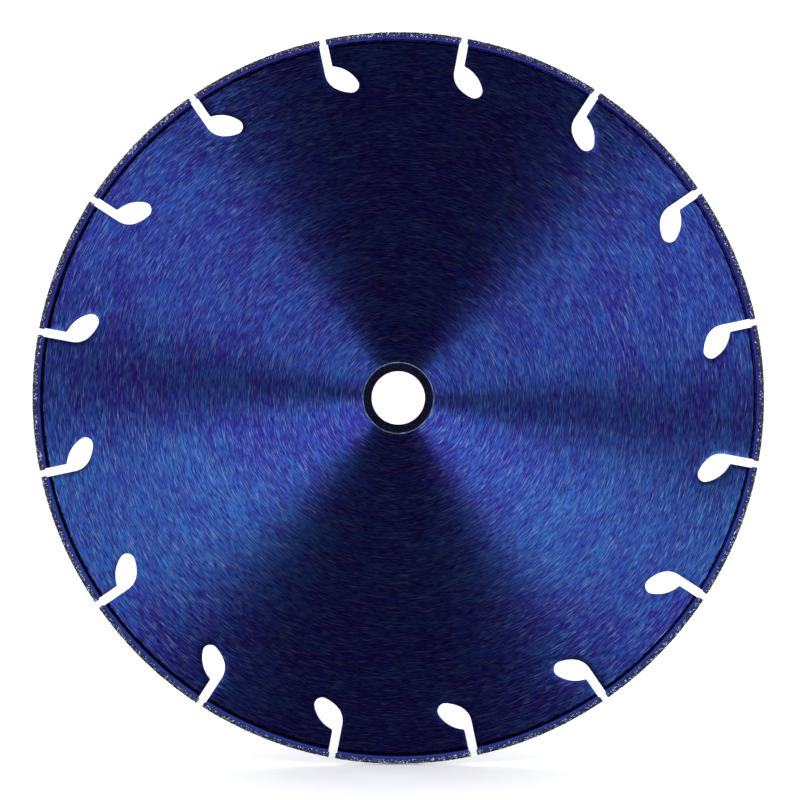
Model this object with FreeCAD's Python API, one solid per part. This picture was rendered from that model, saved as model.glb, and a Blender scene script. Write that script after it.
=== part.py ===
"""Segmented diamond blade for masonry and concrete, with a reducer ring in its bore.

Millimetres. The blade stands upright: it spins about Y, its front face looks towards -Y, and the
origin is at the middle of the bore, halfway through the steel. Angles run clockwise from the top,
as seen from the front.
"""

import FreeCAD, Part

import math
import os

# The blade
blade_diameter = 305.0
core_thickness = 2.2
core_bore = 30.0
core_bore_chamfer = 0.1

# The rim: steel carriers welded to the core, each with diamond grit brazed over it
segment_count = 16
first_gullet_angle = 10.5
rim_height = 3.65          # from the middle of the weld to the cutting edge
carrier_stand_out = 0.25   # carrier proud of the core, on each face
diamond_stand_out = 0.25   # grit proud of the carrier, on each face
diamond_height = 2.0       # how far the grit comes down each face
diamond_on_edge = 0.6      # grit over the cutting edge
diamond_on_end = 0.3       # grit over each end, standing into the gullet
diamond_corner = 0.35      # worn corner round the cutting edge

# The gullets: a straight stem, then a head that bends clockwise
gullet_width = 3.6
gullet_straight = 14.4     # length of the stem's back wall, from the cutting edge
flank_radius = 8.4         # the back wall bends into the head
flank_turn = 53.0
heel_radius = 16.0         # bottom of the head
heel_turn = 22.5
tip_radius = 3.2           # round end of the head
tip_turn = 126.0
brow_radius = 13.7         # top of the head, back to the stem's front wall
brow_corner_radius = 0.8
gullet_bevel = 0.12        # eased edge round each gullet

# The weld beads, one on each face of each carrier
weld_half_width = 0.55
weld_depth = 0.6           # depth of the groove, from the core's face
weld_recess = 0.14         # how far the bead's edges lie below the core's face
weld_crown = 0.1

# The reducer ring, a push fit in the core
arbor_bore = 22.23
ring_clearance = 0.03
ring_set_back = 0.1        # ring below the core's face, on each side
ring_bore_chamfer = 0.2
ring_edge_chamfer = 0.4    # round its outer edge, to start it into the core

# Derived sizes
outer_radius = blade_diameter / 2
joint_radius = outer_radius - rim_height
pitch = 360.0 / segment_count
core_half = core_thickness / 2
carrier_half = core_half + carrier_stand_out
grit_half = carrier_half + diamond_stand_out
cutting_width = 2 * grit_half
ring_half = core_half - ring_set_back
groove_root = core_half - weld_depth
margin = 1.0               # how far a cutting shape runs past what it cuts

ORIGIN = FreeCAD.Vector(0, 0, 0)
SPIN_AXIS = FreeCAD.Vector(0, 1, 0)


def turned(shape, angle):
    """A copy of shape, turned clockwise about the spindle."""
    copy = shape.copy()
    copy.rotate(ORIGIN, SPIN_AXIS, angle)
    return copy


def round_the_rim(shape):
    """Copies of what belongs to the first gullet, one at each gullet."""
    return [turned(shape, first_gullet_angle + index * pitch) for index in range(segment_count)]


def revolved(section, angle=360.0):
    """A section of (radius, y) corners swept clockwise from the top."""
    corners = [FreeCAD.Vector(0, y, radius) for radius, y in section]
    face = Part.Face(Part.makePolygon(corners + corners[:1]))
    return face.revolve(ORIGIN, SPIN_AXIS, angle)


def both_faces(half_section):
    """A section that is the same on the front and the back, from its half with y above zero."""
    mirrored = [(radius, -y) for radius, y in reversed(half_section)]
    return half_section + mirrored


def left_hand_arc(start, heading, radius, turn):
    """An arc that leaves start along heading and bends left. Gives its edge and its end."""
    centre = start + FreeCAD.Vector(-math.sin(heading), 0, math.cos(heading)) * radius

    def at(angle):
        return centre + FreeCAD.Vector(math.sin(angle), 0, -math.cos(angle)) * radius

    end = at(heading + turn)
    return Part.Arc(start, at(heading + turn / 2), end).toShape(), end


def gullet():
    """The space of one gullet, at the top of the blade, with the stem up and the head bent to +X."""
    half = gullet_width / 2
    mouth = outer_radius + margin
    mouth_back = FreeCAD.Vector(-half, 0, mouth)
    mouth_front = FreeCAD.Vector(half, 0, mouth)
    place = FreeCAD.Vector(-half, 0, outer_radius - gullet_straight)
    heading = math.radians(-90)
    edges = [Part.LineSegment(mouth_back, place).toShape()]
    bends = ((flank_radius, flank_turn), (heel_radius, heel_turn), (tip_radius, tip_turn))
    for radius, turn in bends:
        edge, place = left_hand_arc(place, heading, radius, math.radians(turn))
        heading += math.radians(turn)
        edges.append(edge)

    # The brow runs on until it meets the stem's front wall.
    brow_middle = place.x - brow_radius * math.sin(heading)
    brow_heading = math.pi - math.asin((half - brow_middle) / brow_radius)
    edge, corner = left_hand_arc(place, heading, brow_radius, brow_heading - heading)
    edges.append(edge)
    edges.append(Part.LineSegment(corner, mouth_front).toShape())
    edges.append(Part.LineSegment(mouth_front, mouth_back).toShape())

    outline = Part.Face(Part.Wire(edges))
    outline.translate(FreeCAD.Vector(0, -cutting_width, 0))
    space = outline.extrude(FreeCAD.Vector(0, 2 * cutting_width, 0))
    sharp = [edge for edge in space.Edges if is_across(edge, corner)]
    return space.makeFillet(brow_corner_radius, sharp)


def is_across(edge, corner):
    """Whether an edge runs through the blade's thickness at a corner of an outline."""
    middle = edge.CenterOfMass
    return math.hypot(middle.x - corner.x, middle.z - corner.z) < 1e-6


def is_gullet_edge(edge):
    """Whether an edge of the core bounds a flat face at a gullet, and not at the bore or the rim."""
    box = edge.BoundBox
    on_face = abs(abs(box.YMin) - core_half) < 1e-6 and box.YLength < 1e-6
    radii = [math.hypot(point.x, point.z) for point in edge.discretize(5)]
    is_ring = max(radii) - min(radii) < 1e-6
    return on_face and not is_ring


def core_disc():
    """The steel core: a flat disc with gullets, a chamfered bore and a groove for the weld."""
    bore_radius = core_bore / 2
    half_section = [
        (joint_radius, groove_root),
        (joint_radius - weld_half_width, core_half),
        (bore_radius + core_bore_chamfer, core_half),
        (bore_radius, core_half - core_bore_chamfer),
    ]
    disc = revolved(both_faces(half_section))
    disc = disc.cut(Part.makeCompound(round_the_rim(gullet())))
    disc = disc.Solids[0]
    return disc.makeChamfer(gullet_bevel, [edge for edge in disc.Edges if is_gullet_edge(edge)])


def between_gullets(section, gap):
    """A stretch of rim between two gullets that are gap wide, from its section."""
    stretch = revolved(section, pitch)
    foot = FreeCAD.Vector(-gap / 2, -cutting_width, margin)
    stem = Part.makeBox(gap, 2 * cutting_width, outer_radius, foot)
    return stretch.cut(Part.makeCompound([stem, turned(stem, pitch)])).Solids[0]


def rim_carrier():
    """A steel carrier, thicker than the core, with a groove on each face for the weld."""
    half_section = [
        (outer_radius - diamond_on_edge, carrier_half),
        (joint_radius + weld_half_width, carrier_half),
        (joint_radius, groove_root),
    ]
    return between_gullets(both_faces(half_section), gullet_width)


def diamond_layer():
    """Brazed diamond grit over a carrier's cutting edge, its two faces and its two ends."""
    half_section = [
        (outer_radius, grit_half - diamond_corner),
        (outer_radius - diamond_corner, grit_half),
        (outer_radius - diamond_height + diamond_stand_out, grit_half),
        (outer_radius - diamond_height, carrier_half),
    ]
    skin = between_gullets(both_faces(half_section), gullet_width - 2 * diamond_on_end)
    return skin.cut(rim_carrier())


def weld_bead():
    """The weld bead on the back face, lying in the groove between the core and a carrier."""
    fill = (weld_depth - weld_recess) / weld_depth
    inner = (joint_radius - weld_half_width * fill, core_half - weld_recess)
    rise = carrier_half - groove_root
    outer_reach = weld_half_width * (core_half - weld_recess - groove_root) / rise
    outer = (joint_radius + outer_reach, core_half - weld_recess)
    crown = ((inner[0] + outer[0]) / 2, core_half - weld_recess + weld_crown)
    section = [(joint_radius, groove_root), inner, crown, outer]
    return between_gullets(section, gullet_width)


def reducer_ring():
    """The ring that brings the core's bore down to the saw's arbor."""
    inside = arbor_bore / 2
    outside = core_bore / 2 - ring_clearance
    half_section = [
        (outside, ring_half - ring_edge_chamfer),
        (outside - ring_edge_chamfer, ring_half),
        (inside + ring_bore_chamfer, ring_half),
        (inside, ring_half - ring_bore_chamfer),
    ]
    return revolved(both_faces(half_section))


def write(name, solids):
    shape = solids[0] if len(solids) == 1 else Part.makeCompound(solids)
    shape.exportStep(f"parts/{name}.step")
    print(f"{name}: {len(solids)} solid(s), {shape.Volume:.1f} mm3, valid {shape.isValid()}")


def write_all():
    os.makedirs("parts", exist_ok=True)
    write("core_disc", [core_disc()])
    write("reducer_ring", [reducer_ring()])
    for number, solid in enumerate(round_the_rim(rim_carrier()), start=1):
        write(f"rim_carrier_{number:02d}", [solid])
    for number, solid in enumerate(round_the_rim(diamond_layer()), start=1):
        write(f"diamond_layer_{number:02d}", [solid])
    back_bead = weld_bead()
    front_bead = back_bead.mirror(ORIGIN, SPIN_AXIS)
    write("back_weld_beads", round_the_rim(back_bead))
    write("front_weld_beads", round_the_rim(front_bead))


write_all()
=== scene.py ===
"""The look of a segmented diamond blade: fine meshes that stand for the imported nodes, their materials,
soft studio light and a camera square to the front face.

Outlines and sections are in millimetres, as on a drawing, and become metres when a mesh is made.
Angles run clockwise from the top, as seen from the front. The blade spins about Y.
"""

import math

import bpy
import bmesh
import numpy as np
from mathutils import Matrix, Vector
from mathutils.geometry import delaunay_2d_cdt


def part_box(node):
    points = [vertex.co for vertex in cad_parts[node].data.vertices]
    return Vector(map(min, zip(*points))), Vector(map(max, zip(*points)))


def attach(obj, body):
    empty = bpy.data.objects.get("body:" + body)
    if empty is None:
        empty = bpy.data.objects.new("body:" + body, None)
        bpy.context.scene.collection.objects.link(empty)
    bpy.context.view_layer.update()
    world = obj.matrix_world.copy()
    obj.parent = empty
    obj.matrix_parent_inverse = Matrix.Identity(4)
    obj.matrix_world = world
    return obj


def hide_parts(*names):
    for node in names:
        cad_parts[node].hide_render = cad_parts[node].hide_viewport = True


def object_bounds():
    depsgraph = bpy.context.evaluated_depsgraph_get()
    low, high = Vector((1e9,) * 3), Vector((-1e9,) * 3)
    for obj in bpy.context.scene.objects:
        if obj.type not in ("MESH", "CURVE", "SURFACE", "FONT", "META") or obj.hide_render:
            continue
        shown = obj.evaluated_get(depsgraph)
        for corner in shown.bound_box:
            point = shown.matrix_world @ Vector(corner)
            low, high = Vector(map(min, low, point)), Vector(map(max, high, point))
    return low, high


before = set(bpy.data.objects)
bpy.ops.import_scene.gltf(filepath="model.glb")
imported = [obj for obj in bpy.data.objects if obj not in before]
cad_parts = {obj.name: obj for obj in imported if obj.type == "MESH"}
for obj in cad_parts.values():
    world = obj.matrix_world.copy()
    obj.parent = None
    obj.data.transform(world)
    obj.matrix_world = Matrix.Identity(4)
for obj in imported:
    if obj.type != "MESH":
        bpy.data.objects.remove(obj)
cad_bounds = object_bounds()

MM = 0.001


def half_thickness(node):
    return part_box(node)[1].y / MM


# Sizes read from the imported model
OUTER_RADIUS = cad_bounds[1].x / MM
CORE_HALF = half_thickness("core_disc")
CARRIER_HALF = half_thickness("rim_carrier_01")
GRIT_HALF = half_thickness("diamond_layer_01")
RING_HALF = half_thickness("reducer_ring")
RING_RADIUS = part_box("reducer_ring")[1].x / MM

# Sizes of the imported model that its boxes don't show
SEGMENTS = 16
PITCH = math.radians(360 / SEGMENTS)
FIRST_GULLET = math.radians(10.5)
JOINT_RADIUS = OUTER_RADIUS - 3.65
DIAMOND_HEIGHT = 2.0
DIAMOND_ON_EDGE = 0.6
DIAMOND_ON_END = 0.3
DIAMOND_CORNER = 0.35
GULLET_HALF = 1.8
GULLET_STRAIGHT = 14.4
GULLET_BENDS = ((8.4, 53.0), (16.0, 22.5), (3.2, 126.0))
GULLET_BEVEL = 0.12
BROW_RADIUS = 13.7
BROW_CORNER_RADIUS = 0.8
GROOVE_DEPTH = 0.6
GROOVE_HALF_WIDTH = 0.55
WELD_RECESS = 0.14
WELD_CROWN = 0.1
CORE_BORE_RADIUS = 15.0
CORE_BORE_CHAMFER = 0.1
ARBOR_RADIUS = 11.115
RING_BORE_CHAMFER = 0.2
RING_EDGE_CHAMFER = 0.4

GROOVE_ROOT = CORE_HALF - GROOVE_DEPTH
FRONT, BACK = -1, 1
NUMBERS = [f"{number:02d}" for number in range(1, SEGMENTS + 1)]
GULLET_ANGLES = [FIRST_GULLET + index * PITCH for index in range(SEGMENTS)]


# ---------------------------------------------------------------- meshes

class Shell:
    """A mesh in the making. Points are in millimetres."""

    def __init__(self):
        self.blocks = []
        self.count = 0
        self.faces = []
        self.slots = []

    def add(self, points):
        """Adds points of any array shape (..., 3) and gives their numbers in the same shape."""
        points = np.asarray(points, float)
        numbers = self.count + np.arange(points[..., 0].size).reshape(points.shape[:-1])
        self.blocks.append(points.reshape(-1, 3))
        self.count += points[..., 0].size
        return numbers

    def face(self, faces, slot=0):
        self.faces += [tuple(map(int, corners)) for corners in faces]
        self.slots += [slot] * len(faces)

    def grid(self, numbers, slot=0, closed=False):
        """Quads over a two-way array of vertex numbers, closed along its second way or not."""
        if closed:
            numbers = np.concatenate([numbers, numbers[:, :1]], axis=1)
        quads = np.stack([numbers[:-1, :-1], numbers[:-1, 1:], numbers[1:, 1:], numbers[1:, :-1]], -1)
        self.face(quads.reshape(-1, 4), slot)

    def make(self, name, materials, crease=math.radians(30)):
        """The finished object, with normals outward and edges sharp where they turn by the crease."""
        mesh = bpy.data.meshes.new(name)
        mesh.from_pydata((np.concatenate(self.blocks) * MM).tolist(), [], self.faces)
        for material in materials:
            mesh.materials.append(material)
        mesh.polygons.foreach_set("material_index", self.slots)
        mesh.polygons.foreach_set("use_smooth", [True] * len(mesh.polygons))
        work = bmesh.new()
        work.from_mesh(mesh)
        bmesh.ops.recalc_face_normals(work, faces=work.faces)
        for edge in work.edges:
            edge.smooth = edge.is_manifold and edge.calc_face_angle() < crease
        work.to_mesh(mesh)
        work.free()
        piece = bpy.data.objects.new(name, mesh)
        bpy.context.scene.collection.objects.link(piece)
        return piece


def stands_for(piece, body, slot, *nodes):
    """Puts a piece on a body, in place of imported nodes."""
    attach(piece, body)
    if nodes:
        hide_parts(*nodes)


def around(radius, y, angle):
    """Points (x, y, z) at a radius and a clockwise angle from the top."""
    radius, y, angle = np.broadcast_arrays(radius, y, angle)
    return np.stack([radius * np.sin(angle), y, radius * np.cos(angle)], -1)


def soft_noise(points, cell, seed):
    """Smooth repeatable noise from -1 to 1 at points in millimetres, with bumps about a cell wide."""
    shifts = np.random.default_rng(seed).uniform(-50, 50, (3, 4))
    total = np.zeros(points.shape[:-1])
    for octave, (scale, share) in enumerate(((1.0, 0.6), (2.17, 0.4))):
        turned = points * (scale / cell)
        a = np.sin(turned @ np.array([1.7, 0.6, 1.1]) + shifts[0, octave])
        b = np.sin(turned @ np.array([-0.8, 1.9, 1.3]) + shifts[1, octave] + 1.3 * a)
        c = np.sin(turned @ np.array([1.2, -1.4, -1.6]) + shifts[2, octave] + 1.1 * b)
        total += share * (a + b + c) / 3
    return total


# ---------------------------------------------------------------- the core

def arc(centre, radius, start, end, count):
    """Points on a left-hand arc between two headings."""
    headings = np.linspace(start, end, count)
    return centre + radius * np.stack([np.sin(headings), -np.cos(headings)], -1)


def gullet_outline(inset):
    """A gullet's bent part, moved into the steel by inset: from its back wall to its front wall."""
    spacing, brow_steps, corner_steps = 0.35, 38, 6
    least_corner_radius = 0.08
    half = GULLET_HALF + inset
    place = np.array([-GULLET_HALF, OUTER_RADIUS - GULLET_STRAIGHT])
    heading = math.radians(-90)
    stretches = []
    for radius, turn in GULLET_BENDS:
        centre = place + radius * np.array([-math.sin(heading), math.cos(heading)])
        end = heading + math.radians(turn)
        count = round(radius * math.radians(turn) / spacing)
        stretches.append(arc(centre, radius + inset, heading, end, count)[:-1])
        place, heading = arc(centre, radius, heading, end, 2)[-1], end

    # The brow meets the front wall in a small corner of steel.
    centre = place + BROW_RADIUS * np.array([-math.sin(heading), math.cos(heading)])
    corner_radius = max(BROW_CORNER_RADIUS - inset, least_corner_radius)
    reach = BROW_RADIUS + inset + corner_radius
    across = half + corner_radius - centre[0]
    up = math.sqrt(reach ** 2 - across ** 2)
    brow_end = math.pi - math.asin(across / reach)
    stretches.append(arc(centre, BROW_RADIUS + inset, heading, brow_end, brow_steps)[:-1])
    turns = np.linspace(brow_end, math.radians(90), corner_steps)
    corner = centre + [across, up] - corner_radius * np.stack([np.sin(turns), -np.cos(turns)], -1)
    stretches.append(corner)
    return np.concatenate(stretches)


def core_outline(inset, rim_radius):
    """The core's whole outline, clockwise, moved into the steel by inset at its gullets."""
    wall_steps, tooth_steps = 24, 40
    bent = gullet_outline(inset)
    half = GULLET_HALF + inset
    top = math.sqrt(rim_radius ** 2 - half ** 2)
    back = np.linspace(top, bent[0, 1], wall_steps, endpoint=False)
    front = np.linspace(top, bent[-1, 1], wall_steps, endpoint=False)[::-1]
    back_wall = np.stack([np.full(wall_steps, -half), back], -1)
    front_wall = np.stack([np.full(wall_steps, half), front], -1)
    corner = math.asin(half / rim_radius)
    tooth_angles = np.linspace(corner, PITCH - corner, tooth_steps)[1:-1]
    tooth = rim_radius * np.stack([np.sin(tooth_angles), np.cos(tooth_angles)], -1)
    pattern = np.concatenate([back_wall, bent, front_wall, tooth])
    across, up = pattern[:, 0], pattern[:, 1]
    turns = [(math.cos(angle), math.sin(angle)) for angle in GULLET_ANGLES]
    return np.concatenate([np.stack([across * c + up * s, up * c - across * s], -1) for c, s in turns])


def at_depth(outline, y):
    """An outline of (x, z) points at one y."""
    return np.stack([outline[:, 0], np.full(len(outline), y), outline[:, 1]], -1)


def filled(shell, outer, inner, side):
    """Triangles between the outer loop and the bore's loop on one face, over an even polar grid."""
    step, start, end = 6.0, 19.0, 146.0
    fewest = 24
    twist = 0.1    # radians for each millimetre of radius, so that the rings of points don't line up
    on_loops = np.concatenate(shell.blocks)[np.concatenate([outer, inner])]
    points = [tuple(point) for point in on_loops[:, [0, 2]]]
    inside = []
    for radius in np.arange(start, end, step):
        count = max(fewest, round(2 * math.pi * radius / step))
        for angle in np.arange(count) * 2 * math.pi / count + twist * radius:
            if is_clear_of_gullets(radius, angle):
                inside.append((radius * math.sin(angle), radius * math.cos(angle)))
    loops = [outer, inner]
    edges = []
    first = 0
    for loop in loops:
        size = len(loop)
        edges += [(first + k, first + (k + 1) % size) for k in range(size)]
        first += size
    made, _, triangles, *_ = delaunay_2d_cdt([Vector(p) for p in points + inside], edges, [], 2, 1e-7)
    fixed = len(points)
    if len(made) != fixed + len(inside):
        raise ValueError("the face's outline crosses itself")
    extra = shell.add([(p.x, side * CORE_HALF, p.y) for p in made[fixed:]])
    numbers = np.concatenate([outer, inner, extra])
    on_bore = set(range(len(outer), fixed))
    steel = [triangle for triangle in triangles if not on_bore.issuperset(triangle)]
    shell.face([[numbers[corner] for corner in triangle] for triangle in steel])


def is_clear_of_gullets(radius, angle):
    """Whether a point of the core's face is well away from every gullet's head and stem."""
    heads_start, heads_end = 123.0, 142.0
    head_reach, stem_reach = 16.0, 6.5
    if radius < heads_start:
        return True
    past = (angle - FIRST_GULLET) % PITCH
    behind = (PITCH - past) * radius
    ahead = past * radius
    reach = head_reach if radius < heads_end else stem_reach
    return ahead > reach and behind > stem_reach


def make_core(materials):
    """The steel disc. Its face rises in a slight lip along every gullet, as the photo's shading suggests."""
    shell = Shell()
    lip_width, lip_height = 2.6, 0.11
    draw_in = 0.8     # how far a loop leaves the rim, for each millimetre of its inset
    bevel_ease, bore_land, bore_steps = 0.02, 1.0, 256
    flank = GROOVE_HALF_WIDTH / GROOVE_DEPTH
    insets = (GULLET_BEVEL, 0.3, 0.6, 0.95, 1.4, 1.95, lip_width)
    wall_depth = CORE_HALF - GULLET_BEVEL - bevel_ease
    bore_angles = np.linspace(0, 2 * math.pi, bore_steps, endpoint=False)
    rows = {}
    for side in (FRONT, BACK):
        rim = JOINT_RADIUS - flank * (wall_depth - GROOVE_ROOT)
        rows[side] = [shell.add(at_depth(core_outline(0, JOINT_RADIUS), side * GROOVE_ROOT)),
                      shell.add(at_depth(core_outline(0, rim), side * wall_depth))]
        for inset in insets:
            lift = lip_height * (1 - (inset - GULLET_BEVEL) / (lip_width - GULLET_BEVEL)) ** 2
            rim = JOINT_RADIUS - GROOVE_HALF_WIDTH - draw_in * (inset - GULLET_BEVEL)
            outline = core_outline(inset, rim)
            rows[side].append(shell.add(at_depth(outline, side * (CORE_HALF + lift))))
        shell.grid(np.stack(rows[side][:3]), slot=1, closed=True)
        shell.grid(np.stack(rows[side][2:]), closed=True)
        bore_section = ((CORE_BORE_RADIUS, CORE_HALF - CORE_BORE_CHAMFER),
                        (CORE_BORE_RADIUS + CORE_BORE_CHAMFER, CORE_HALF),
                        (CORE_BORE_RADIUS + bore_land, CORE_HALF))
        bore = [shell.add(around(radius, side * y, bore_angles)) for radius, y in bore_section]
        shell.grid(np.stack(bore[:2]), slot=1, closed=True)
        shell.grid(np.stack(bore[1:]), closed=True)
        filled(shell, rows[side][-1], bore[-1], side)
        rows[side].append(bore[0])
    shell.grid(np.stack([rows[FRONT][0], rows[BACK][0]]), slot=1, closed=True)
    shell.grid(np.stack([rows[FRONT][-1], rows[BACK][-1]]), slot=1, closed=True)
    stands_for(shell.make("steel_core", materials), "blade", "lacquered_steel", "core_disc")


# ---------------------------------------------------------------- the rim

def stretch_angles(radius, gap_half, shares, first_angle):
    """Angles at a radius between two gullets whose walls are gap_half from their middles."""
    corner = np.arcsin(gap_half / radius)
    return first_angle + corner + shares * (PITCH - 2 * corner)


def hood(shell, section, gap_half, steps, rough, first_angle, seed):
    """An open hood over a stretch of rim: its sides and edge from a section of (radius, y) points, and
    its two ends, from rows across the thickness. Gives the numbers round its open mouth."""
    across, lump_size = 7, 0.55
    section = np.asarray(section, float)
    radius, y = section[:, 0], section[:, 1]
    shares = np.linspace(0, 1, steps)[:, None]
    points = around(radius, y, stretch_angles(radius, gap_half, shares, first_angle))
    outward = np.stack([section[2:, 1] - section[:-2, 1], section[:-2, 0] - section[2:, 0]], -1)
    outward /= np.linalg.norm(outward, axis=1)[:, None]
    outward = np.concatenate([[(0, -1)], outward, [(0, 1)]])
    height = rough * soft_noise(points, lump_size, seed)
    height[:, [0, -1]] = 0
    angle = np.arctan2(points[..., 0], points[..., 2])
    moved_radius = np.hypot(points[..., 0], points[..., 2]) + height * outward[:, 0]
    points = around(moved_radius, points[..., 1] + height * outward[:, 1], angle)
    numbers = shell.add(points)
    shell.grid(numbers)

    middle = len(section) // 2
    for end in (0, steps - 1):
        left = points[end, :middle + 1]
        right = points[end, ::-1][:middle + 1]
        between = np.linspace(left[:-1], right[:-1], across)[1:-1]
        inner = shell.add(between)
        rows = np.concatenate([numbers[end, :middle][None], inner, numbers[end, ::-1][:middle][None]])
        shell.grid(rows)
        tip = numbers[end, middle]
        last = rows[:, -1]
        shell.face([(last[k], last[k + 1], tip) for k in range(across - 1)])
        if end == 0:
            first_row = rows[:, 0]
        else:
            last_row = rows[:, 0]
    return np.concatenate([numbers[:, 0], last_row[1:-1], numbers[::-1, -1], first_row[::-1][1:-1]])


def mirrored(half_section):
    """A section that is the same on both faces, from its half with y above zero."""
    other = [(radius, -y) for radius, y in half_section]
    return other + [(radius, y) for radius, y in reversed(half_section[:-1])]


def skin_half_section():
    """The outside of the diamond layer, from the carrier's face over a worn corner to the middle."""
    corner = DIAMOND_CORNER
    centre = (OUTER_RADIUS - corner, GRIT_HALF - corner)
    turns = np.radians([0, 30, 60, 90])
    start = OUTER_RADIUS - DIAMOND_HEIGHT
    full = start + 0.3      # where the layer has its full thickness
    side = [(start, CARRIER_HALF), (start + 0.1, CARRIER_HALF + 0.16), (full, GRIT_HALF)]
    side += [(radius, GRIT_HALF) for radius in np.linspace(full, centre[0], 5)[1:-1]]
    side += [(centre[0] + corner * math.sin(a), centre[1] + corner * math.cos(a)) for a in turns]
    side += [(OUTER_RADIUS, y) for y in np.linspace(centre[1], 0, 4)[1:]]
    return side


def make_diamond_layer(index, materials):
    """The brazed skin on one segment: closed, hollow where the carrier is, and rough outside."""
    shell = Shell()
    steps, roughness = 144, 0.07
    angle = GULLET_ANGLES[index]
    outside = skin_half_section()
    start, edge = OUTER_RADIUS - DIAMOND_HEIGHT, OUTER_RADIUS - DIAMOND_ON_EDGE
    climb = np.linspace(0, 1, len(outside))
    inside = [(start + (edge - start) * min(1, 2 * share), CARRIER_HALF * min(1, 2 - 2 * share))
              for share in climb]
    outer_gap = GULLET_HALF - DIAMOND_ON_END
    outer_mouth = hood(shell, mirrored(outside), outer_gap, steps, roughness, angle, index)
    inner_mouth = hood(shell, mirrored(inside), GULLET_HALF, steps, 0.0, angle, index)
    shell.grid(np.stack([outer_mouth, inner_mouth]), closed=True)
    piece = shell.make(f"grit_layer_{NUMBERS[index]}", materials, crease=math.radians(75))
    stands_for(piece, "blade", "diamond_grit", f"diamond_layer_{NUMBERS[index]}")


def random_turns(rng, count):
    """Evenly spread rotation matrices."""
    quaternion = rng.normal(size=(count, 4))
    w, x, y, z = (quaternion / np.linalg.norm(quaternion, axis=1)[:, None]).T
    rows = [[1 - 2 * (y * y + z * z), 2 * (x * y - z * w), 2 * (x * z + y * w)],
            [2 * (x * y + z * w), 1 - 2 * (x * x + z * z), 2 * (y * z - x * w)],
            [2 * (x * z - y * w), 2 * (y * z + x * w), 1 - 2 * (x * x + y * y)]]
    return np.moveaxis(np.array(rows), -1, 0)


def cuboctahedron():
    """Points and faces of a diamond crystal: a cube with its corners cut to its edges' middles."""
    points = [(a, b, 0) for a in (-1, 1) for b in (-1, 1)]
    points += [(a, 0, b) for a in (-1, 1) for b in (-1, 1)]
    points += [(0, a, b) for a in (-1, 1) for b in (-1, 1)]
    points = np.array(points, float) / math.sqrt(2)
    normals = [sign * np.eye(3)[axis] for axis in range(3) for sign in (-1, 1)]
    normals += [(2 * np.array(corner) - 1) / math.sqrt(3) for corner in np.ndindex(2, 2, 2)]
    faces = []
    for normal in normals:
        height = points @ normal
        flat = np.flatnonzero(height > height.max() - 1e-6)
        side = np.cross(normal, points[flat[0]])
        turn = np.arctan2(points[flat] @ side, points[flat] @ points[flat[0]])
        faces.append(flat[np.argsort(turn)])
    return points, faces


CRYSTAL_POINTS, CRYSTAL_FACES = cuboctahedron()


def make_crystals(index, materials):
    """The diamonds that stand out of one segment's braze, on its edge, its two faces and its ends."""
    rng = np.random.default_rng(100 + index)
    count, on_end = 880, 44
    start, margin, end_margin = OUTER_RADIUS - DIAMOND_HEIGHT + 0.2, 0.1, 0.15
    sunk, sunk_share = 0.05, 0.985
    tones = (0.34, 0.40, 0.26)     # shares of bright, grey and dark crystals
    end_gap = GULLET_HALF - DIAMOND_ON_END
    angle = GULLET_ANGLES[index]
    face_band = DIAMOND_HEIGHT - DIAMOND_CORNER
    edge_band = 2 * (GRIT_HALF - DIAMOND_CORNER)
    along = rng.uniform(0, 1, count)
    around_section = rng.uniform(0, 2 * face_band + edge_band, count)
    radius, y = np.empty(count), np.empty(count)
    for side, low in ((FRONT, 0), (BACK, face_band + edge_band)):
        here = (around_section >= low) & (around_section < low + face_band)
        radius[here] = start + (around_section[here] - low)
        y[here] = side * GRIT_HALF
    here = (around_section >= face_band) & (around_section < face_band + edge_band)
    radius[here] = OUTER_RADIUS
    y[here] = around_section[here] - face_band - edge_band / 2
    angles = stretch_angles(radius, end_gap + end_margin, along, angle)

    # The ends of the segment carry diamonds too.
    side = rng.choice((0.0, 1.0), on_end)
    radius = np.concatenate([radius, rng.uniform(start, OUTER_RADIUS, on_end)])
    y = np.concatenate([y, rng.uniform(-GRIT_HALF + margin, GRIT_HALF - margin, on_end)])
    end_angles = stretch_angles(radius[count:], end_gap, side, angle)
    angles = np.concatenate([angles, end_angles])

    size = rng.uniform(0.17, 0.33, count + on_end) * rng.uniform(0.8, 1.15, count + on_end)
    squash = rng.uniform(0.75, 1.2, (count + on_end, 1, 3))
    middles = around(radius - sunk, y * sunk_share, angles)
    shapes = (CRYSTAL_POINTS * squash) @ random_turns(rng, count + on_end) * size[:, None, None]
    finish = rng.choice(len(materials), count + on_end, p=tones)
    shell = Shell()
    numbers = shell.add(middles[:, None, :] + shapes)
    for crystal, slot in zip(numbers, finish):
        shell.face([crystal[face] for face in CRYSTAL_FACES], int(slot))
    piece = shell.make(f"diamond_crystals_{NUMBERS[index]}", materials, crease=math.radians(20))
    stands_for(piece, "blade", "diamond_grit")


def carrier_section():
    """A carrier's section, closed, with its edges eased."""
    edge, foot = OUTER_RADIUS - DIAMOND_ON_EDGE, JOINT_RADIUS + GROOVE_HALF_WIDTH
    ease, corner = 0.12, 0.04
    foot_curve = ((2.5, 0.0), (1.0, 0.015), (0.3, 0.06), (-0.4, 0.15))    # eases along, millimetres down
    half = [(edge, 0.0), (edge, CARRIER_HALF - ease), (edge - corner, CARRIER_HALF - corner),
            (edge - ease, CARRIER_HALF)]
    half += [(foot + along * ease, CARRIER_HALF - down) for along, down in foot_curve]
    half += [(JOINT_RADIUS, GROOVE_ROOT)]
    return half + [(radius, -y) for radius, y in reversed(half[1:])]


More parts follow.
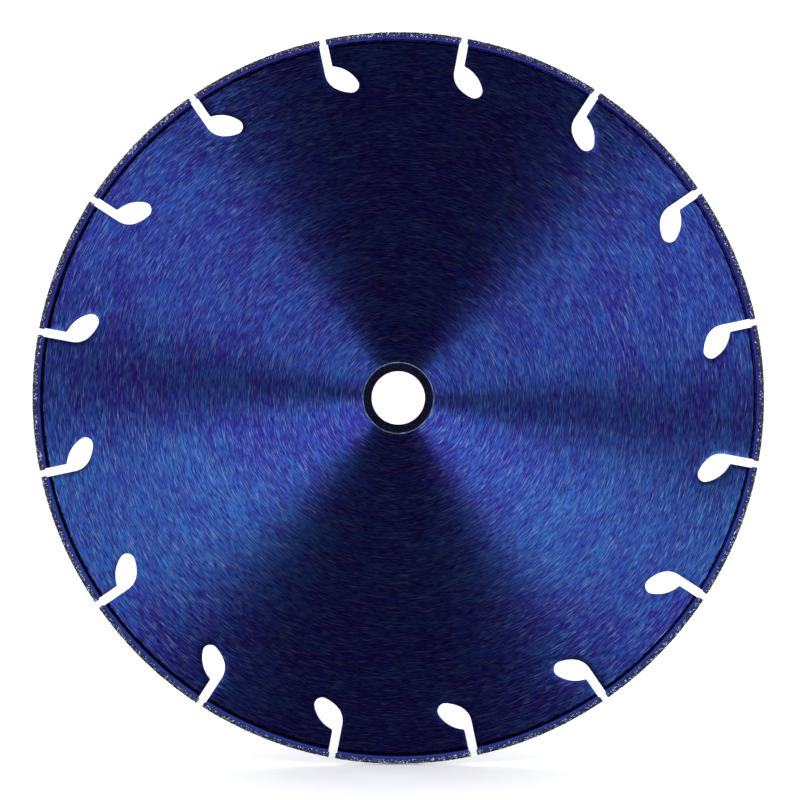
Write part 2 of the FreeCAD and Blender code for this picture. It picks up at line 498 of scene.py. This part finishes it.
def make_carrier(index, materials):
    """A steel segment: the section swept between two gullets, a little smaller at its ends."""
    shell = Shell()
    section = np.array(carrier_section())
    radius, y = section[:, 0], section[:, 1]
    centre_radius = radius.mean()
    ends = ((0.0, 0.97), (0.0008, 0.99), (0.0022, 1.0))    # share of the length, size of the section
    stations = [*ends, *[(share, 1.0) for share in np.linspace(0.01, 0.99, 60)]]
    stations += [(1 - share, scale) for share, scale in reversed(ends)]
    rows = []
    for share, scale in stations:
        eased = centre_radius + (radius - centre_radius) * scale
        angles = stretch_angles(radius, GULLET_HALF, share, GULLET_ANGLES[index])
        rows.append(around(eased, y * scale, angles))
    numbers = shell.add(np.array(rows))
    shell.grid(numbers, closed=True)
    for end in (0, -1):
        shell.face([numbers[end]])
    piece = shell.make(f"segment_carrier_{NUMBERS[index]}", materials, crease=math.radians(50))
    stands_for(piece, "blade", "rim_steel", f"rim_carrier_{NUMBERS[index]}")


def make_welds(side, name, node, materials):
    """The laser-weld beads on one face: rippled crowns in the groove, with wandering edges."""
    shell = Shell()
    steps, ripple, ripple_depth = 400, 0.62, 0.45
    swell_height, grain_height, sway = 0.05, 0.015, 0.05
    bead_shift, side_shift = 13.0, 5.0     # each bead reads its own stretch of the noise
    top = CORE_HALF - WELD_RECESS
    flank = GROOVE_HALF_WIDTH / GROOVE_DEPTH
    rise = (CARRIER_HALF - GROOVE_ROOT) / GROOVE_HALF_WIDTH
    for index, first_angle in enumerate(GULLET_ANGLES):
        shares = np.linspace(0, 1, steps)
        length = shares * PITCH * JOINT_RADIUS
        shifts = np.full(steps, bead_shift * index), np.full(steps, side_shift * side)
        place = np.stack([length, *shifts], -1)
        wander = soft_noise(place, 3.2, 7) + 0.6 * soft_noise(place, 0.9, 8)
        swell = soft_noise(place, 5.5, 9)
        beat = np.abs(np.sin(math.pi * length / ripple + 0.8 * wander))
        level = top + swell_height * swell
        inner = JOINT_RADIUS - flank * (level - GROOVE_ROOT)
        outer = JOINT_RADIUS + (level - GROOVE_ROOT) / rise
        crown = WELD_CROWN * (1 - ripple_depth + ripple_depth * beat)
        columns = [(np.full(steps, JOINT_RADIUS), np.full(steps, GROOVE_ROOT)), (inner, level)]
        for share in (0.2, 0.4, 0.6, 0.8):
            grain = grain_height * soft_noise(place + share * 9, 0.4, 11)
            lift = crown * math.sin(math.pi * share) + grain
            columns.append((inner + (outer - inner) * (share + sway * wander), level + lift))
        columns.append((outer, level))
        radius = np.stack([column[0] for column in columns], -1)
        y = side * np.stack([column[1] for column in columns], -1)
        angles = stretch_angles(radius, GULLET_HALF, shares[:, None], first_angle)
        numbers = shell.add(around(radius, y, angles))
        shell.grid(numbers, closed=True)
        for end in (0, -1):
            shell.face([numbers[end]])
    stands_for(shell.make(name, materials, crease=math.radians(60)), "blade", "weld_metal", node)


# ---------------------------------------------------------------- the ring

def make_ring(materials):
    """The reducer ring: turned steel with fine tool marks and eased, chamfered corners."""
    bore, chamfer, edge = ARBOR_RADIUS, RING_BORE_CHAMFER, RING_EDGE_CHAMFER
    mark_pitch, mark_depth, steps = 0.11, 0.012, 256
    nip, ease, run = 0.015, 0.02, 0.03     # how far a softened corner's points lie from the sharp one
    marks = np.arange(bore + chamfer + 0.12, RING_RADIUS - edge - 0.1, mark_pitch)
    half = [(bore, 0.0), (bore, RING_HALF - chamfer - ease), (bore + nip, RING_HALF - chamfer + nip)]
    half += [(bore + chamfer - nip, RING_HALF - nip), (bore + chamfer + run, RING_HALF)]
    half += [(radius, RING_HALF - mark_depth * (k % 2)) for k, radius in enumerate(marks)]
    half += [(RING_RADIUS - edge - run, RING_HALF), (RING_RADIUS - edge + ease, RING_HALF - nip)]
    half += [(RING_RADIUS - ease, RING_HALF - edge + nip), (RING_RADIUS, RING_HALF - edge - run)]
    half += [(RING_RADIUS, 0.0)]
    section = np.array(half + [(radius, -y) for radius, y in reversed(half[1:-1])])
    angles = np.linspace(0, 2 * math.pi, steps, endpoint=False)
    shell = Shell()
    numbers = shell.add(around(section[:, :1], section[:, 1:], angles))
    numbers = np.concatenate([numbers, numbers[:1]])
    on_edge = section[:, 0] > RING_RADIUS - edge
    for k in range(len(section)):
        slot = 1 if on_edge[k] and on_edge[(k + 1) % len(section)] else 0
        shell.grid(numbers[[k, k + 1]], slot, closed=True)
    piece = shell.make("turned_ring", materials, crease=math.radians(28))
    stands_for(piece, "ring", "ring_steel", "reducer_ring")


# ---------------------------------------------------------------- materials

class Finish:
    """One material: its nodes, built with short calls."""

    def __init__(self, name):
        self.material = bpy.data.materials.new(name)
        self.material.use_nodes = True
        self.tree = self.material.node_tree
        self.tree.nodes.clear()
        self.place = self.node("ShaderNodeTexCoord").outputs["Object"]

    def node(self, kind, inputs=(), **settings):
        """A node with its settings, and its inputs from values or from other nodes' sockets."""
        node = self.tree.nodes.new(kind)
        for key, value in settings.items():
            setattr(node, key, value)
        for key, value in dict(inputs).items():
            if isinstance(value, bpy.types.NodeSocket):
                self.tree.links.new(value, node.inputs[key])
            else:
                node.inputs[key].default_value = value
        return node

    def math(self, operation, first, second):
        return self.node("ShaderNodeMath", {0: first, 1: second}, operation=operation).outputs[0]

    def vector(self, operation, first, second=(0, 0, 0)):
        return self.node("ShaderNodeVectorMath", {0: first, 1: second}, operation=operation).outputs[0]

    def scaled(self, vector, factor):
        inputs = {0: vector, "Scale": factor}
        return self.node("ShaderNodeVectorMath", inputs, operation="SCALE").outputs[0]

    def noise(self, vector, scale=1.0, detail=2.0, roughness=0.5, output="Fac"):
        inputs = {"Vector": vector, "Scale": scale, "Detail": detail, "Roughness": roughness}
        return self.node("ShaderNodeTexNoise", inputs).outputs[output]

    def mix(self, factor, first, second):
        """Two colours mixed by a factor."""
        node = self.node("ShaderNodeMix", {0: factor, 6: first, 7: second}, data_type="RGBA")
        return node.outputs[2]

    def band(self, value, low, high, new_low=0.0, new_high=1.0):
        """A value stretched from one range to another, smoothly and within its ends."""
        inputs = {0: value, 1: low, 2: high, 3: new_low, 4: new_high}
        return self.node("ShaderNodeMapRange", inputs, interpolation_type="SMOOTHSTEP").outputs[0]

    def polar(self):
        """The distance from the spin axis, and the unit vector outward from it."""
        flat = self.vector("MULTIPLY", self.place, (1, 0, 1))
        length = self.node("ShaderNodeVectorMath", {0: flat}, operation="LENGTH").outputs["Value"]
        return length, self.vector("NORMALIZE", flat)

    def along_grain(self, radius, length, width):
        """Coordinates that stretch a noise to a length along the brushing and a width across it."""
        parts = self.node("ShaderNodeSeparateXYZ", {0: self.place})
        inputs = {0: self.math("MULTIPLY", parts.outputs[0], 1 / (length * MM)),
                  1: self.math("MULTIPLY", radius, 1 / (width * MM)),
                  2: self.math("MULTIPLY", parts.outputs[2], 1 / (length * MM))}
        return self.node("ShaderNodeCombineXYZ", inputs).outputs[0]

    def between(self, start, end):
        """How far a point's height has passed from start to end, from 0 to 1."""
        height = self.node("ShaderNodeSeparateXYZ", {0: self.place}).outputs[2]
        return self.band(height, start * MM, end * MM)

    def groove_shade_spread(self, outward):
        """How far the painted shade by the weld's groove spreads, from 0 to 1: most on one side of the
        blade, and patchy.
        """
        inputs = {0: outward, 1: SHADED_SIDE}
        side = self.node("ShaderNodeVectorMath", inputs, operation="DOT_PRODUCT").outputs["Value"]
        patch = self.noise(self.place, scale=52.0, detail=3.0, roughness=0.6)
        return self.band(self.math("ADD", side, self.math("MULTIPLY", patch, 2.4)), 0.35, 1.9)

    def ragged(self, radius, reach):
        """A distance from the spin axis, made uneven by up to reach millimetres."""
        noise = self.noise(self.place, scale=760.0, detail=4.0, roughness=0.7)
        shift = self.math("MULTIPLY", self.math("SUBTRACT", noise, 0.5), reach * MM)
        return self.math("ADD", radius, shift)

    def bump(self, height, distance, strength=1.0, normal=None):
        inputs = {"Height": height, "Distance": distance * MM, "Strength": strength}
        if normal is not None:
            inputs["Normal"] = normal
        return self.node("ShaderNodeBump", inputs).outputs[0]

    def surface(self, **inputs):
        """The shader, from its inputs by name, with _ for a space."""
        named = {key.replace("_", " "): value for key, value in inputs.items()}
        shader = self.node("ShaderNodeBsdfPrincipled", named)
        self.node("ShaderNodeOutputMaterial", {0: shader.outputs[0]})
        return self.material


DEEP_INDIGO = (0.040, 0.018, 0.21, 1)
INDIGO = (0.052, 0.056, 0.58, 1)
VIOLET = (0.068, 0.044, 0.58, 1)
AZURE = (0.066, 0.265, 1.0, 1)
SKY_PAINTED_LIGHT = (0.070, 0.36, 1.0, 1)
COBALT_PAINTED_LIGHT = (0.062, 0.125, 0.74, 1)
RIM_SKY_PAINTED_LIGHT = (0.034, 0.14, 0.84, 1)
LILAC = (0.31, 0.57, 1.0, 1)
WELD_BLUE = (0.040, 0.055, 0.50, 1)
WELD_BLACK_AND_SHADE = (0.002, 0.002, 0.006, 1)
WELD_BRONZE_AND_SHADE = (0.013, 0.011, 0.035, 1)
GROOVE_SHADE_BLACK = (0.003, 0.003, 0.010, 1)
CUT_DARK = (0.03, 0.036, 0.19, 1)
CUT_LIGHT = (0.11, 0.16, 0.62, 1)
CUT_STAIN = (0.05, 0.05, 0.12, 1)
RIM_DARK = (0.038, 0.029, 0.34, 1)
RIM_LIGHT = (0.058, 0.060, 0.58, 1)
BRAZE_DARK = (0.004, 0.006, 0.026, 1)
BRAZE_LIGHT = (0.046, 0.062, 0.21, 1)
OXIDE = (0.003, 0.0025, 0.016, 1)
OXIDE_GRAIN = (0.09, 0.095, 0.24, 1)
OXIDE_RUBBED = (0.04, 0.05, 0.12, 1)
EDGE_DULL = (0.07, 0.14, 0.28, 1)
EDGE_BRIGHT = (0.26, 0.47, 0.80, 1)

# Towards the lower left, where the painted shade by the weld's groove is heaviest
SHADED_SIDE = (-0.82, 0, -0.57)


def lacquered_steel():
    """Blue lacquer over steel brushed in circles, with short bright scratches along the brushing."""
    f = Finish("lacquered_steel")
    radius, outward = f.polar()
    grain = f.noise(f.along_grain(radius, 4.0, 0.28), detail=2.0, roughness=0.65)
    hairs = f.noise(f.along_grain(radius, 2.6, 0.16), detail=1.0, roughness=0.5)
    scratch = f.noise(f.along_grain(radius, 5.4, 0.28), detail=1.0, roughness=0.45)
    tone = f.noise(f.along_grain(radius, 26.0, 11.0), detail=3.0, roughness=0.55)
    streak = f.math("ADD", f.math("MULTIPLY", grain, 0.62), f.math("MULTIPLY", hairs, 0.38))
    bright = f.band(scratch, 0.605, 0.685)
    body = f.mix(f.band(tone, 0.36, 0.62), VIOLET, INDIGO)

    # Painted light: the blue is lighter low down on both sides, where the lower lobes of the star are lit.
    painted_low_light = f.math("MULTIPLY", f.between(-5, -30), f.between(-98, -62))
    painted_low_light = f.math("MULTIPLY", painted_low_light, f.band(radius, 0.2 * OUTER_RADIUS * MM, 0.62 * OUTER_RADIUS * MM))
    body = f.mix(f.math("MULTIPLY", painted_low_light, 0.7), body, COBALT_PAINTED_LIGHT)
    color = f.mix(f.band(streak, 0.37, 0.51), DEEP_INDIGO, body)
    lit = f.math("ADD", streak, f.math("MULTIPLY", tone, 0.22))
    color = f.mix(f.band(lit, 0.570, 0.740), color, f.mix(painted_low_light, AZURE, SKY_PAINTED_LIGHT))
    color = f.mix(f.math("MULTIPLY", bright, 0.80), color, LILAC)

    # Painted shade: the lacquer goes near-black beside the weld's groove, where the step between core and
    # rim is in shade.
    spread = f.math("MULTIPLY", f.groove_shade_spread(outward), 0.20 * MM)
    groove_shade_edge = f.math("ADD", f.ragged(radius, 1.7), spread)
    groove_shade = f.band(groove_shade_edge, (JOINT_RADIUS - 0.74) * MM, (JOINT_RADIUS - 0.60) * MM)
    color = f.mix(groove_shade, color, GROOVE_SHADE_BLACK)
    roughness = f.band(streak, 0.35, 0.65, 0.350, 0.410)
    roughness = f.math("ADD", roughness, f.math("MULTIPLY", bright, -0.06))
    outer = f.band(radius, 0.4 * OUTER_RADIUS * MM, OUTER_RADIUS * MM, 0.0, 0.055)
    roughness = f.math("ADD", roughness, outer)

    # The brushing runs in circles, and wanders more towards the rim. Its normals lean to the axis.
    normal = f.node("ShaderNodeNewGeometry").outputs["Normal"]
    lean = f.vector("SUBTRACT", normal, f.scaled(outward, 0.11))
    normal = f.bump(streak, 0.02, 0.6, f.vector("NORMALIZE", lean))
    tangent = f.node("ShaderNodeTangent", direction_type="RADIAL", axis="Y").outputs[0]
    wander = f.noise(f.along_grain(radius, 6.0, 0.5), output="Color")
    swing = f.band(radius, 0.5 * OUTER_RADIUS * MM, OUTER_RADIUS * MM, 0.06, 0.75)
    wander = f.scaled(f.vector("SUBTRACT", wander, (0.5, 0.5, 0.5)), swing)
    tangent = f.vector("NORMALIZE", f.vector("ADD", tangent, wander))
    return f.surface(Base_Color=color, Metallic=1.0, Roughness=roughness, Anisotropic=1.0,
                     Anisotropic_Rotation=0.25, Tangent=tangent, Normal=normal)


def cut_steel():
    """The gullets' walls: laser striations through the thickness, under the same lacquer."""
    f = Finish("laser_cut_steel")
    lines = f.noise(f.vector("MULTIPLY", f.place, (5200, 420, 5200)), detail=3.0, roughness=0.55)
    patch = f.noise(f.place, scale=300.0, detail=3.0)
    color = f.mix(f.band(lines, 0.3, 0.75), CUT_DARK, CUT_LIGHT)
    color = f.mix(f.band(patch, 0.5, 0.8), color, CUT_STAIN)
    radius, _ = f.polar()
    # Painted shade: the walls go near-black near the weld's groove.
    groove_shade = f.band(radius, (JOINT_RADIUS - 1.0) * MM, (JOINT_RADIUS - 0.6) * MM)
    color = f.mix(groove_shade, color, GROOVE_SHADE_BLACK)
    return f.surface(Base_Color=color, Metallic=1.0, Roughness=f.band(lines, 0.2, 0.8, 0.34, 0.6),
                     Normal=f.bump(lines, 0.03, 0.9))


def rim_steel():
    """The carriers: smooth steel under blue lacquer, with painted shade beside the weld's groove and painted
    light low down.
    """
    f = Finish("rim_steel")
    radius, _ = f.polar()
    fine = f.noise(f.place, scale=2600.0, detail=3.0, roughness=0.6)
    flow = f.noise(f.along_grain(radius, 3.5, 0.5), detail=2.0)
    color = f.mix(f.band(flow, 0.3, 0.75), RIM_DARK, RIM_LIGHT)
    # Painted light: the blue is lighter towards the bottom, where the blade is lit more.
    color = f.mix(f.math("MULTIPLY", f.between(20, -70), 0.5), color, RIM_SKY_PAINTED_LIGHT)
    # Painted shade: near-black beside the weld's groove.
    uneven = f.noise(f.place, scale=500.0, detail=3.0)
    edge = f.math("SUBTRACT", radius, f.math("MULTIPLY", uneven, 0.4 * MM))
    groove_shade = f.band(edge, (JOINT_RADIUS + 0.75) * MM, (JOINT_RADIUS + 0.15) * MM)
    color = f.mix(groove_shade, color, GROOVE_SHADE_BLACK)
    return f.surface(Base_Color=color, Metallic=0.85, Roughness=f.band(fine, 0.3, 0.7, 0.42, 0.58),
                     Normal=f.bump(fine, 0.012, 0.5))


def braze():
    """The metal that holds the diamonds: dark, lumpy and tinted by the lacquer."""
    f = Finish("diamond_braze")
    lumps = f.noise(f.place, scale=1900.0, detail=4.0, roughness=0.65)
    grains = f.node("ShaderNodeTexVoronoi", {"Vector": f.place, "Scale": 2100.0}).outputs["Distance"]
    color = f.mix(f.band(lumps, 0.36, 0.68), BRAZE_DARK, BRAZE_LIGHT)
    height = f.math("ADD", lumps, f.math("MULTIPLY", grains, -0.8))
    return f.surface(Base_Color=color, Metallic=0.6, Roughness=f.band(lumps, 0.3, 0.7, 0.4, 0.7),
                     Normal=f.bump(height, 0.12, 0.9))


def crystal(name, dark, light, roughness):
    """Diamond grains of one tone, dusted with lacquer."""
    f = Finish(name)
    dust = f.noise(f.place, scale=3800.0, detail=2.0)
    color = f.mix(f.band(dust, 0.35, 0.65), dark, light)
    dull = f.band(dust, 0.3, 0.7, roughness, roughness + 0.2)
    return f.surface(Base_Color=color, Metallic=0.15, Roughness=dull, IOR=1.9,
                     Normal=f.bump(dust, 0.03, 0.4))


def weld_metal():
    """Weld beads: near-black on the core's side, for dark weld metal and painted shade at the groove's step,
    giving way to the lacquer's blue.
    """
    f = Finish("weld_metal")
    radius, outward = f.polar()
    tint = f.noise(f.place, scale=520.0, detail=3.0)
    scale = f.noise(f.place, scale=4200.0, detail=3.0, roughness=0.7)
    # Dark weld metal, with painted shade of the groove's step.
    black_and_shade = f.mix(f.band(tint, 0.35, 0.7), WELD_BLACK_AND_SHADE, WELD_BRONZE_AND_SHADE)
    spread = f.math("MULTIPLY", f.groove_shade_spread(outward), 0.30 * MM)
    beyond = f.math("SUBTRACT", f.ragged(radius, 1.5), spread)
    blue = f.band(beyond, (JOINT_RADIUS + 0.06) * MM, (JOINT_RADIUS + 0.18) * MM)
    color = f.mix(blue, black_and_shade, WELD_BLUE)
    return f.surface(Base_Color=color, Metallic=1.0, Roughness=f.band(scale, 0.3, 0.7, 0.45, 0.75),
                     Normal=f.bump(scale, 0.02, 0.7))


def ring_face():
    """The ring: blue-black oxide with a fine blasted grain over turning marks."""
    f = Finish("ring_steel")
    radius, _ = f.polar()
    grain = f.noise(f.place, scale=2100.0, detail=4.0, roughness=0.7)
    turning = f.noise(f.along_grain(radius, 9.0, 0.09), detail=1.0)
    rub = f.noise(f.place, scale=240.0, detail=3.0)
    color = f.mix(f.band(grain, 0.48, 0.68), OXIDE, OXIDE_GRAIN)
    color = f.mix(f.math("MULTIPLY", f.band(rub, 0.55, 0.75), 0.3), color, OXIDE_RUBBED)
    height = f.math("ADD", grain, f.math("MULTIPLY", turning, 0.5))
    return f.surface(Base_Color=color, Metallic=0.97, Roughness=f.band(grain, 0.3, 0.7, 0.5, 0.7),
                     Normal=f.bump(height, 0.02, 0.7))


def ring_edge():
    """The ring's outer chamfer, rubbed bright where it starts into the core."""
    f = Finish("ring_edge_steel")
    radius, _ = f.polar()
    rub = f.noise(f.place, scale=330.0, detail=4.0, roughness=0.6)
    turning = f.noise(f.along_grain(radius, 6.0, 0.07), detail=2.0)
    color = f.mix(f.band(rub, 0.38, 0.62), EDGE_DULL, EDGE_BRIGHT)
    return f.surface(Base_Color=color, Metallic=0.35, Roughness=f.band(turning, 0.3, 0.7, 0.3, 0.48),
                     Normal=f.bump(turning, 0.01, 0.6))


# ---------------------------------------------------------------- the studio

def make_backdrop():
    """A pale floor under the blade that curves up all round into a bowl."""
    f = Finish("studio_paper")
    tooth = f.noise(f.place, scale=900.0, detail=2.0)
    color = f.mix(tooth, (0.90, 0.90, 0.90, 1), (0.94, 0.94, 0.94, 1))
    paper = f.surface(Base_Color=color, Roughness=0.9, Normal=f.bump(tooth, 0.1, 0.2))
    floor_radius, bend, height = 2600.0, 900.0, 4200.0
    gap_below, steps = 0.4, 96
    turns = np.linspace(0, math.pi / 2, 12)
    profile = [(radius, 0.0) for radius in (1.0, 400.0, 1200.0, 2000.0)]
    profile += [(floor_radius + bend * math.sin(a), bend * (1 - math.cos(a))) for a in turns]
    profile += [(floor_radius + bend, height)]
    shell = Shell()
    angles = np.linspace(0, 2 * math.pi, steps, endpoint=False)
    radius, up = np.array(profile).T
    level = np.broadcast_to(up[:, None] - OUTER_RADIUS - gap_below, (len(profile), steps))
    rings = np.stack([radius[:, None] * np.cos(angles), radius[:, None] * np.sin(angles), level], -1)
    numbers = shell.add(rings)
    shell.grid(numbers, closed=True)
    shell.face([numbers[0]])
    backdrop = shell.make("backdrop", [paper], crease=math.radians(60))
    backdrop.visible_glossy = False
    backdrop.visible_diffuse = False


def make_softbox(name, polar, out, depth, width, height, roll, power):
    """A large soft light that faces the middle of the blade, at a clockwise angle from the top."""
    light = bpy.data.lights.new(name, "AREA")
    light.shape = "RECTANGLE"
    light.size, light.size_y, light.energy = width, height, power
    lamp = bpy.data.objects.new(name, light)
    bpy.context.scene.collection.objects.link(lamp)
    angle = math.radians(polar)
    place = Vector((out * math.sin(angle), depth, out * math.cos(angle)))
    back = place.normalized()
    side = Vector((math.cos(angle), 0, -math.sin(angle)))
    up = back.cross(side)
    turn = math.radians(roll)
    side, up = math.cos(turn) * side + math.sin(turn) * up, math.cos(turn) * up - math.sin(turn) * side
    rotation = Matrix((side, up, back)).transposed()
    lamp.matrix_world = Matrix.Translation(place) @ rotation.to_4x4()
    lamp.visible_camera = False


def make_world():
    """White all round for soft light, but nearly dark in reflections, as in a dark room."""
    seen, reflected = (1.3, 1.3, 1.3, 1), (0.068, 0.037, 0.048, 1)
    world = bpy.data.worlds.new("studio")
    world.use_nodes = True
    bpy.context.scene.world = world
    tree = world.node_tree
    tree.nodes.clear()
    background = tree.nodes.new("ShaderNodeBackground")
    output = tree.nodes.new("ShaderNodeOutputWorld")
    path = tree.nodes.new("ShaderNodeLightPath")
    color = tree.nodes.new("ShaderNodeMix")
    color.data_type = "RGBA"
    color.inputs[6].default_value = seen
    color.inputs[7].default_value = reflected
    tree.links.new(path.outputs["Is Glossy Ray"], color.inputs[0])
    tree.links.new(color.outputs[2], background.inputs["Color"])
    tree.links.new(background.outputs[0], output.inputs[0])


def make_camera():
    """A long lens, square to the front face and a touch off its middle, as in the photo."""
    lens = bpy.data.cameras.new("camera")
    lens.lens = 135
    camera = bpy.data.objects.new("camera", lens)
    bpy.context.scene.collection.objects.link(camera)
    camera.location = (0.0007, -1.252, -0.00087)
    camera.rotation_euler = (math.pi / 2, 0, 0)
    bpy.context.scene.camera = camera


# Name, darker colour, lighter colour and roughness, in the order that the crystals' slots have
CRYSTAL_TONES = (("crystal_bright", (0.42, 0.50, 0.68, 1), (0.76, 0.84, 1.0, 1), 0.2),
                 ("crystal_grey", (0.075, 0.095, 0.22, 1), (0.18, 0.21, 0.33, 1), 0.3),
                 ("crystal_dark", (0.008, 0.009, 0.02, 1), (0.03, 0.035, 0.07, 1), 0.35))


def build():
    core_finish = [lacquered_steel(), cut_steel()]
    make_core(core_finish)
    carrier_finish = [rim_steel()]
    braze_finish = [braze()]
    crystal_finish = [crystal(*tone) for tone in CRYSTAL_TONES]
    for index in range(SEGMENTS):
        make_carrier(index, carrier_finish)
        make_diamond_layer(index, braze_finish)
        make_crystals(index, crystal_finish)
    weld_finish = [weld_metal()]
    make_welds(FRONT, "weld_beads_front", "front_weld_beads", weld_finish)
    make_welds(BACK, "weld_beads_back", "back_weld_beads", weld_finish)
    make_ring([ring_face(), ring_edge()])


build()
make_backdrop()
make_world()
for side_name, depth in (("front", -1.283), ("back", 1.283)):
    make_softbox(f"softbox_left_{side_name}", polar=303.5, out=0.935, depth=depth,
                 width=0.70, height=0.615, roll=-8.0, power=5.2)
    make_softbox(f"softbox_right_{side_name}", polar=64.8, out=1.006, depth=depth,
                 width=0.77, height=0.59, roll=-4.0, power=6.1)
make_camera()
bpy.context.scene.view_settings.view_transform = "Standard"
